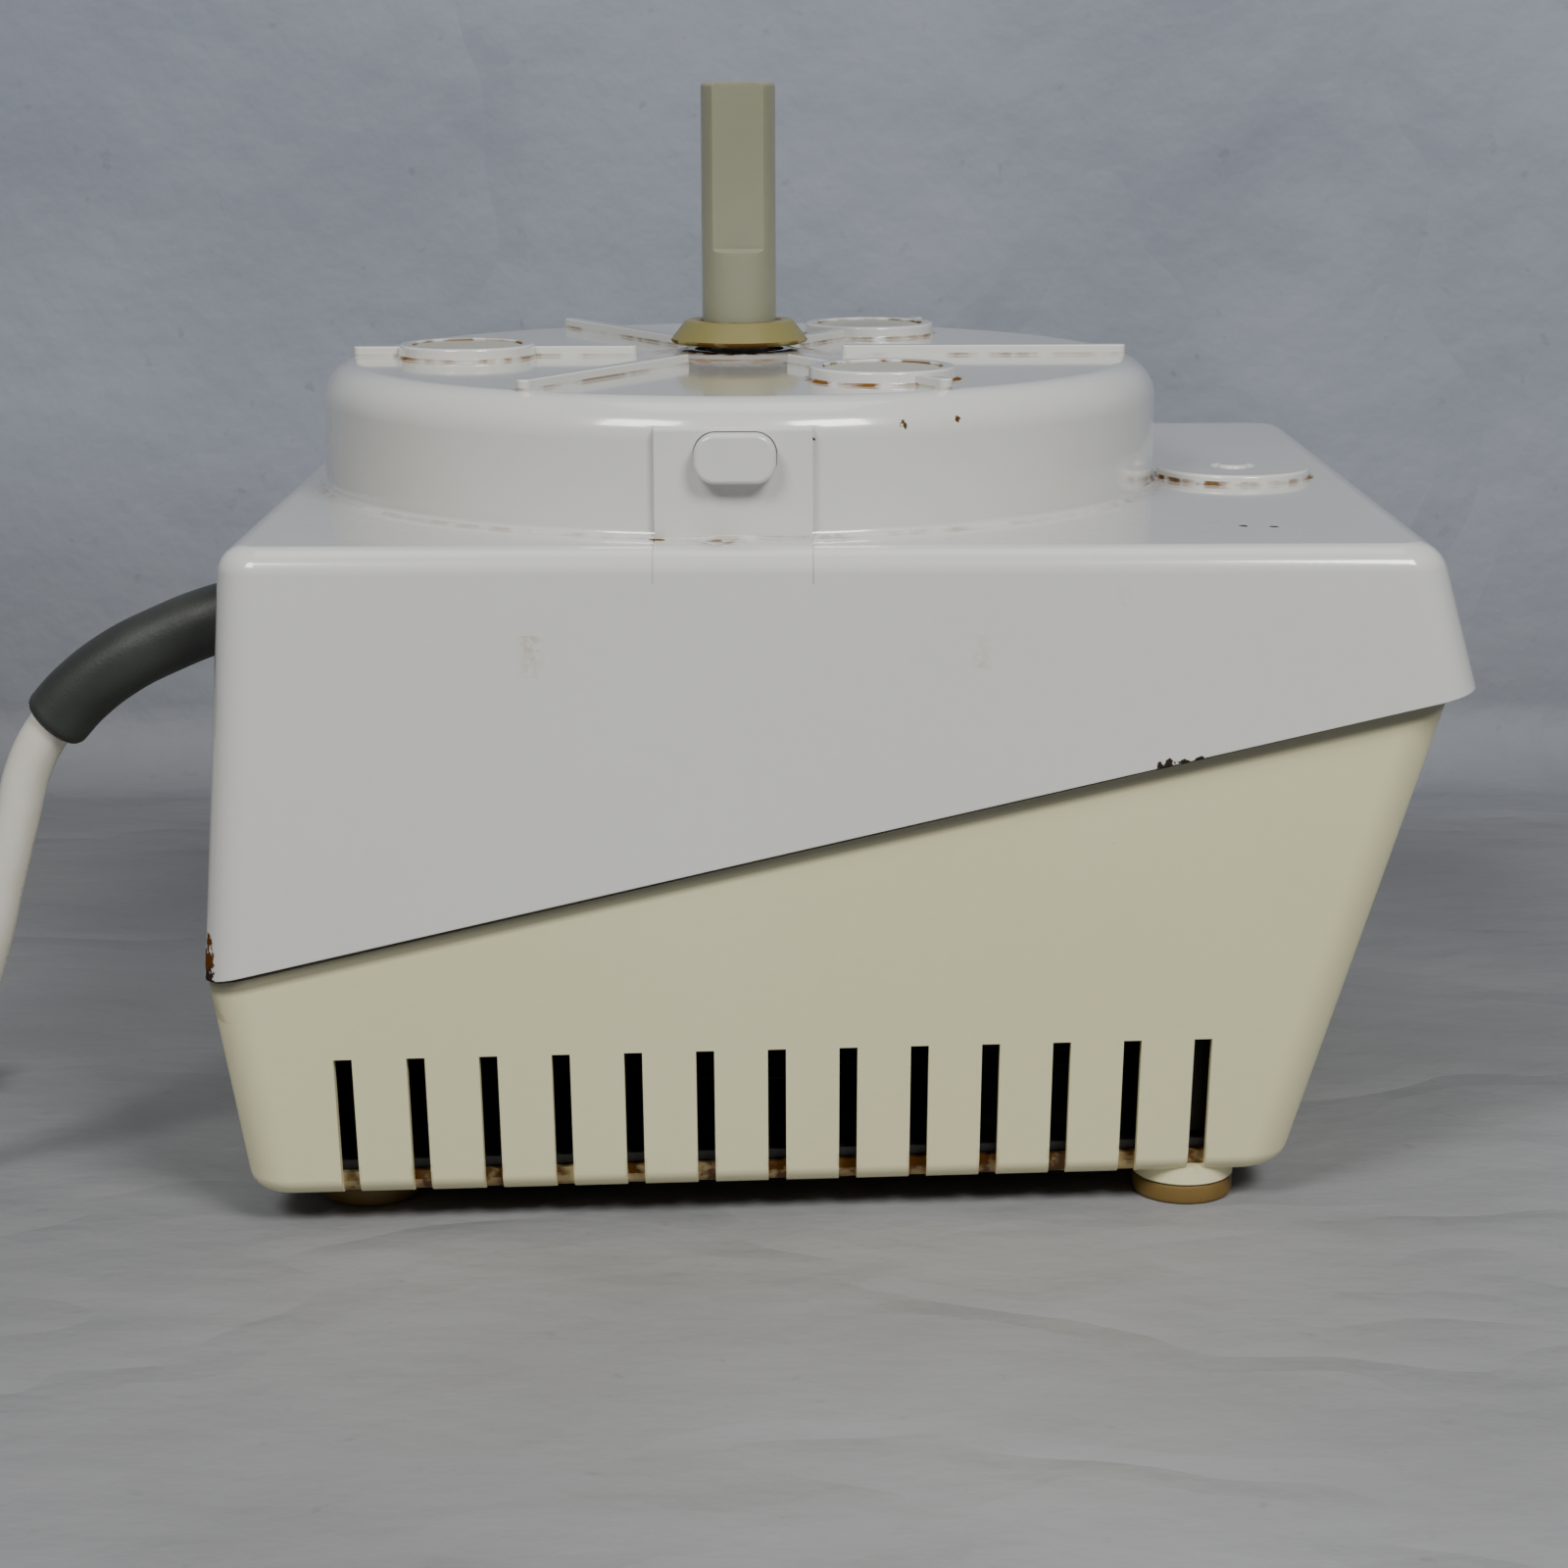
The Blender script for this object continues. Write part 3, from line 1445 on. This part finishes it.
    def _flange(self, shop: Finishes) -> None:
        """Makes the flat ledge inside the base's foot.

        Args:
            shop: The finishes.
        """
        low, high = self.bottom + 0.15, self.bottom + 4.5
        ledge = Bench.block("base_ledge", self.corners(low, 2.6), self.corners(high, 2.6))
        Bench.bevel(ledge, lambda a, b: abs(a.z - b.z) > 0.002, self.corner - 2, 5)
        Bench.bevel(ledge, lambda a, b: max(a.z, b.z) < low * MM + 1e-5, 1.6, 3)
        hole = Bench.block("ledge_hole", self.corners(low - 2, 16), self.corners(high + 2, 16))
        Bench.combine(ledge, hole, "DIFFERENCE")
        Bench.soften(ledge, 0.3)
        shop.dress(ledge, "cream_satin", "lower_housing", look="ledge_grime", angle=SOFT)

    def _feet(self, shop: Finishes) -> None:
        """Makes four round bosses, each with its rubber foot.

        Args:
            shop: The finishes.
        """
        outline = [(0, 3.95), (9.7, 3.95), (10.25, 4.4), (10.25, 8.5), (0, 8.5)]
        rubber = [
            (4.4, 2.4), (4.4, 0), (9.3, 0), (9.9, 0.25), (10.2, 0.9), (10.2, 3.2), (9.9, 3.85), (0, 3.85),
            (0, 2.4), (4.4, 2.4),
        ]
        for number, place in enumerate(self.foot_places(), 1):
            boss = Bench.spun(f"foot_boss_{number}", outline, place, 56)
            shop.dress(boss, "cream_satin", "lower_housing", look="cream_base", angle=SHARP)
            pad = Bench.spun(f"foot_pad_{number}", rubber, place, 56)
            shop.dress(pad, "brown_rubber", f"rubber_foot_{number}", angle=SHARP)


# ------------------------------------------------------------------------------- drive
@dataclass
class DriveSpindle:
    """What shows of the spindle: the cone-shaped collar and the long sleeve with its flat."""

    collar_low: float = 166.2
    collar_high: float = 171.0
    sleeve_radius: float = 7.9
    sleeve_top: float = 220.9
    sleeve_low: float = 169.45
    flat_low: float = 185.7
    flat: float = 5.8

    def build(self, shop: Finishes) -> None:
        """Makes the collar and the sleeve.

        Args:
            shop: The finishes.
        """
        low, high = self.collar_low, self.collar_high
        flare = [(13.9, low), (14.5, low + 0.25), (14.65, low + 0.6), (14.5, low + 0.95)]
        mouth = [(11.7, high - 0.25), (11.3, high), (8.15, high), (8.05, high - 1.7), (6.2, high - 1.7)]
        collar = Bench.spun("drive_collar", [(6.2, low), *flare, *mouth, (6.2, low)], steps=96)
        shop.dress(collar, "collar_yellow", "shaft_collar", body=Body.SPINDLE, angle=SHARP)
        r, foot, top = self.sleeve_radius, self.sleeve_low, self.sleeve_top
        side = [(0, foot), (r, foot), *arc(r, top - 0.02, 1.0, 5), (0, top - 0.02)]
        sleeve = Bench.spun("drive_sleeve_d", side, steps=96)
        waste = Bench.box("flat_waste", (-12, -14, self.flat_low), (12, -self.flat, top + 6))
        step = self.flat_low * MM + 1e-5
        Bench.bevel(waste, lambda a, b: max(a.z, b.z) < step and min(a.y, b.y) > -0.006, 0.8, 4)
        Bench.combine(sleeve, waste, "DIFFERENCE")
        Bench.soften(sleeve, 0.6, 4)
        shop.dress(sleeve, "nylon", "drive_sleeve", body=Body.SPINDLE, angle=SHARP)


@dataclass
class InnerParts:
    """The machine's insides, which keep their CAD shapes and take their finishes here."""

    made: tuple[str, ...] = (
        "upper_housing", "lower_housing", "rubber_foot_", "screw_cover_", "side_cap", "interlock_button",
        "shaft_collar", "drive_sleeve", "strain_relief", "power_cord", "cord_coil", "coil_tie", "cord_tail",
        "plug_",
    )
    dressed: list[str] = field(default_factory=list)

    def build(self, shop: Finishes, frame: dict) -> None:
        """Dresses each CAD node by its material slot.

        Args:
            shop: The finishes.
        """
        slots = {part["node"]: part["material_slot"] for part in frame["record"]["subparts"]}
        for name, node in frame["nodes"].items():
            if name.startswith(self.made):
                continue
            node.data.materials.clear()
            node.data.materials.append(shop.materials[slots[name]])
            self.dressed.append(name)
        LOG.info("dressed %d inner parts", len(self.dressed))


# ------------------------------------------------------------------------------- studio
@dataclass(frozen=True)
class Lamp:
    """A soft square light."""

    name: str
    place: Point
    aim: Point
    size: float
    watts: float
    tint: Point

    def build(self) -> None:
        """Hangs the lamp."""
        spot = Vector(self.place)
        turn = (Vector(self.aim) - spot).to_track_quat("-Z", "Y").to_euler()
        bpy.ops.object.light_add(type="AREA", location=spot, rotation=turn)
        lamp = bpy.context.object
        lamp.name = self.name
        lamp.data.shape = "SQUARE"
        lamp.data.size = self.size
        lamp.data.energy = self.watts
        lamp.data.color = self.tint


LAMPS = (
    Lamp("key", (0.55, -1.05, 1.15), (0, 0, 0.08), 0.45, 17.0, (1.0, 0.99, 0.965)),
    Lamp("fill", (-0.6, -1.0, 1.15), (0, 0, 0.08), 0.45, 12.3, (1.0, 0.99, 0.97)),
    Lamp("top", (0.0, 0.1, 1.3), (0, 0.1, 0.1), 0.7, 2.0, (1.0, 1.0, 1.0)),
)


@dataclass
class Studio:
    """The camera, the lights, and the cloth that the machine stands on."""

    eye: Point = (-0.009246, -0.6836, 0.2281)
    lens: float = 72.54
    tilt: float = 76.86
    pan: float = 0.001
    roll: float = -0.0031
    bend: float = 0.30
    room_tint: tuple[float, float, float, float] = (0.66, 0.68, 0.71, 1)
    room_light: float = 0.11
    floor_tones: tuple[Point, Point] = ((0.25, 0.252, 0.262), (0.32, 0.323, 0.335))
    wall_tones: tuple[Point, Point] = ((0.225, 0.25, 0.305), (0.285, 0.315, 0.375))
    far_tone: Point = (0.12, 0.12, 0.125)
    dim_tone: Point = (0.13, 0.13, 0.132)
    smudge_tone: Point = (0.13, 0.13, 0.135)

    def build(self) -> None:
        """Makes the whole studio."""
        self._camera()
        self._lights()
        self._cloth()

    def _camera(self) -> None:
        """Adds the camera."""
        Bench.clear()
        bpy.ops.object.camera_add(location=self.eye, rotation=(math.radians(self.tilt), 0, self.pan))
        camera = bpy.context.object
        camera.data.lens = self.lens
        camera.data.sensor_width = 36
        camera.rotation_euler.rotate_axis("Z", self.roll)
        camera.data.clip_start = 0.01
        bpy.context.scene.camera = camera

    def _lights(self) -> None:
        """Adds soft light from the left, right and above, and a dim room."""
        for lamp in LAMPS:
            lamp.build()
        world = bpy.data.worlds.new("room")
        world.use_nodes = True
        sky = world.node_tree.nodes["Background"].inputs
        sky["Color"].default_value = self.room_tint
        sky["Strength"].default_value = self.room_light
        bpy.context.scene.world = world

    def _cloth(self) -> None:
        """Adds the pale sheet: a floor that turns up into a backdrop."""
        Bench.clear()
        bpy.ops.mesh.primitive_plane_add(size=2)
        sheet = Bench.settle("cloth")
        for (sx, sy), (x, y) in zip(
            ((-1, -1), (1, -1), (1, 1), (-1, 1)),
            ((-3, -2), (3, -2), (3, self.bend), (-3, self.bend)),
            strict=True,
        ):
            start = Vector((sx, sy, 0))
            Bench.select(sheet, verts=lambda co, s=start: (co - s).length < 1e-4)
            bpy.ops.transform.translate(value=Vector((x, y, 0)) - start)
        Bench.select(sheet, edges=lambda a, b: min(a.y, b.y) > self.bend - 1e-4)
        bpy.ops.mesh.extrude_edges_move(TRANSFORM_OT_translate={"value": (0, 0.25, 2.2)})
        bpy.ops.object.mode_set(mode="OBJECT")
        Bench.select(sheet, faces=lambda centre, normal: True)
        bpy.ops.mesh.normals_make_consistent(inside=False)
        bpy.ops.object.mode_set(mode="OBJECT")
        if sheet.data.polygons[0].normal.z < 0:
            Bench.select(sheet, faces=lambda centre, normal: True)
            bpy.ops.mesh.flip_normals()
            bpy.ops.object.mode_set(mode="OBJECT")
        bend = self.bend
        Bench.bevel(sheet, lambda a, b: abs(a.y - bend) + abs(b.y - bend) + a.z + b.z < 1e-4, 25, 8)
        Bench.smooth(sheet, 60)
        sheet.data.materials.append(self._fabric())

    def _fabric(self) -> Material:
        """Wires the cloth's finish: soft folds, dim patches, and clear from behind.

        Returns:
            The material.
        """
        n = Nodes("cloth")
        folds = n.noise(7, 8, (1, 1.3, 1))
        floor = n.mix(n.ramp(folds, 0.35, 0.7), *self.floor_tones)
        wall = n.mix(n.ramp(folds, 0.35, 0.7), *self.wall_tones)
        color = n.mix(n.ramp(n.part(1), self.bend - 0.1, self.bend + 0.03), floor, wall)
        far = n.math("MULTIPLY", n.ramp(n.part(1), -0.25, 0.2), n.ramp(n.part(2), 0.0, 0.12, 0.4, 0))
        color = n.mix(far, color, self.far_tone)
        dim = n.math("MULTIPLY", n.ramp(n.part(0), -0.3, -0.02, 0.5, 0), n.ramp(n.part(2), 0, 0.1, 1, 0))
        color = n.mix(dim, color, self.dim_tone)
        color = n.mix(n.ramp(n.noise(160, 6), 0.66, 0.75, 0, 0.3), color, self.smudge_tone)
        n.link(color, n.shader.inputs["Base Color"])
        n.shader.inputs["Roughness"].default_value = 0.62
        crease = n.ramp(n.math("ABSOLUTE", n.math("SUBTRACT", n.noise(5, 3, (1, 1.7, 0.7)), 0.5)), 0, 0.05)
        n.bump(n.math("ADD", n.noise(9, 6, (1, 1.5, 1)), n.math("MULTIPLY", crease, 0.12)), 14, 0.6)
        clear = n.add("ShaderNodeBsdfTransparent")
        either = n.add("ShaderNodeMixShader")
        n.link(n.add("ShaderNodeNewGeometry").outputs["Backfacing"], either.inputs[0])
        n.link(n.shader.outputs["BSDF"], either.inputs[1])
        n.link(clear.outputs["BSDF"], either.inputs[2])
        n.link(either.outputs["Shader"], n.output.inputs["Surface"])
        return n.material


def cream_base() -> Plastic:
    """The base's own cream, with dirt drawn along the slots' feet.

    Returns:
        The finish.
    """
    shell = BaseShell()
    stains = [Stain((-99, -98, 40), 0, 5, 0.5, 230, 45, 60)]
    for number in range(shell.slots):
        x = shell.first_slot + number * shell.pitch
        stains.append(Stain((x, -shell.depth(x, 12), 12), 0, 2.4, 0.9, 300, 5, 14))
    seam = (CoverShell.lip_height, CoverShell.lip_slope, 3.3, (0.30, 0.285, 0.19))
    return replace(CREAM_SATIN, name="cream_base", specks=0.25, stains=tuple(stains), seam=seam)


INSIDE_DUST = Plastic("inside_dust", (0.05, 0.045, 0.035), (0.08, 0.07, 0.05), 0.7, grain=0.08, specks=0.5)
LEDGE_GRIME = Plastic(
    "ledge_grime", (0.60, 0.52, 0.30), (0.40, 0.27, 0.10), 0.6, grain=0.1, dirt=(0.085, 0.033, 0.006),
    specks=1.0, soil=1.0, stains=(Stain((0, 0, 0), 0, 3000, 1.0, 300, 9.6, 12),),
)


def main() -> None:
    """Builds the machine, part by part."""
    logging.basicConfig(level=logging.INFO, format="%(message)s", stream=sys.stdout)
    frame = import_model()
    Bench.find_shaft()
    every = (*PLAIN_FINISHES, WHITE_DRUM, LEDGE_GRIME, INSIDE_DUST, cream_base())
    shop = Finishes({finish.name: finish.build() for finish in every})
    Studio().build()
    cord = PowerCord()
    fittings = CordFittings().build(cord, shop)
    cord.build(shop, fittings)
    cover = CoverShell()
    cover.build(shop)
    BowlSeat().build(shop)
    SideCap().build(shop)
    SafetyButton().build(shop)
    BaseShell().build(shop, cover)
    DriveSpindle().build(shop)
    InnerParts().build(shop, frame)


if __name__ == "__main__":
    main()
